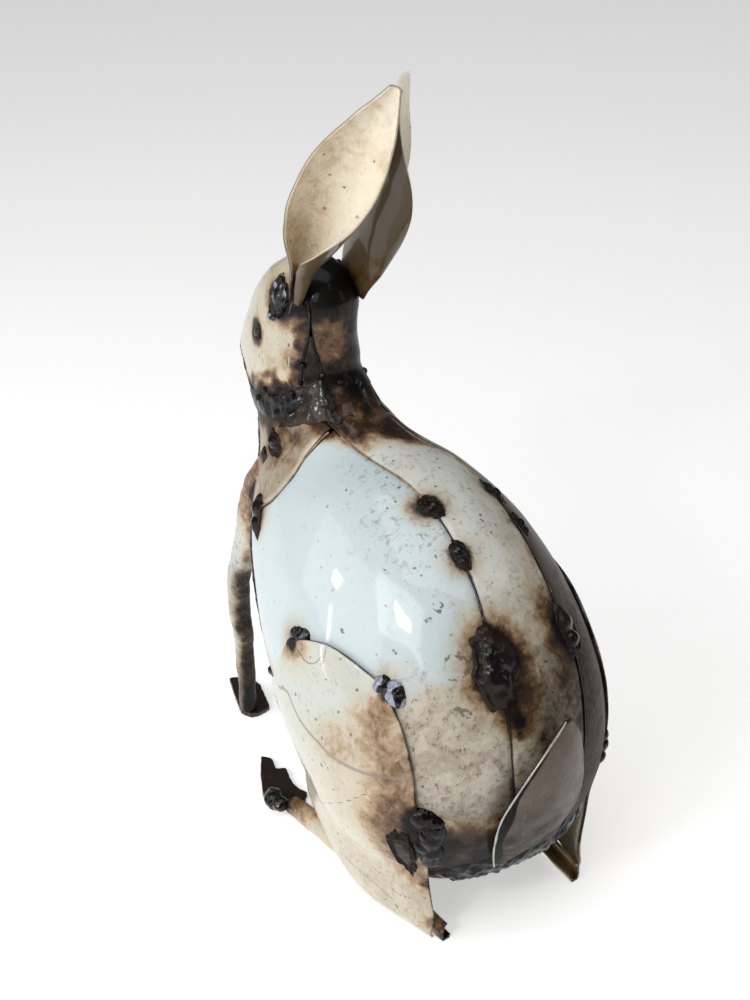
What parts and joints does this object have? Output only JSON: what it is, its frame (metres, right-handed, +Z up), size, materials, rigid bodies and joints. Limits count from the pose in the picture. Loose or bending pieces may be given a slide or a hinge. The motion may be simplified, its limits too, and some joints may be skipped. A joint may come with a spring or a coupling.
{
  "type": "hare sculpture",
  "caption": "Sitting hare with upright ears, welded up from curved pieces of painted sheet steel, standing on forked paws.",
  "frame": {"origin": "middle of the box round the hare, on the floor it stands on", "axes": "+Z up; the hare looks along -Y, and its left side is +X"},
  "size_m": [0.1992, 0.349, 0.4979],
  "materials": {
    "cream_paint": "glossy clear lacquer over old cream paint, scorched brown and black round the welds",
    "blue_grey_paint": "glossy clear lacquer over pale blue-grey paint with chips and scratches",
    "scorched_paint": "burnt paint under lacquer, orange-brown to black",
    "pink_grey_paint": "glossy pinkish grey paint with a bare bright edge",
    "weld": "thick glossy black weld metal with silvery spots",
    "dark_steel": "dark brown burnt steel plate, lacquered"
  },
  "bodies": {
    "root": {"back_panel": "cream_paint", "left_flank": "blue_grey_paint", "right_flank": "blue_grey_paint", "left_shoulder": "cream_paint", "right_shoulder": "cream_paint", "belly_panel": "blue_grey_paint", "left_cheek": "cream_paint", "right_cheek": "cream_paint", "nape_strip": "scorched_paint", "jaw": "cream_paint", "left_ear": "cream_paint", "left_haunch": "cream_paint", "left_foreleg": "cream_paint", "left_hind_foot": "cream_paint", "right_ear": "cream_paint", "right_haunch": "cream_paint", "right_foreleg": "cream_paint", "right_hind_foot": "cream_paint", "left_forepaw": "dark_steel", "left_hind_toes": "dark_steel", "right_forepaw": "dark_steel", "right_hind_toes": "dark_steel", "tail": "pink_grey_paint", "seam_weld_1": "weld", "seam_weld_2": "weld", "seam_weld_3": "weld", "seam_weld_4": "weld", "seam_weld_5": "weld", "seam_weld_6": "weld", "left_shoulder_weld_1": "weld", "left_shoulder_weld_2": "weld", "left_haunch_weld_1": "weld", "left_haunch_weld_2": "weld", "left_haunch_weld_3": "weld", "left_toe_weld": "weld", "left_eye": "weld", "left_ear_weld": "weld", "right_shoulder_weld_1": "weld", "right_shoulder_weld_2": "weld", "right_haunch_weld_1": "weld", "right_haunch_weld_2": "weld", "right_toe_weld": "weld", "right_eye": "weld", "right_ear_weld": "weld", "crown_weld": "weld", "base_weld": "weld", "neck_weld": "weld", "rump_weld": "weld"}
  },
  "joints": []
}
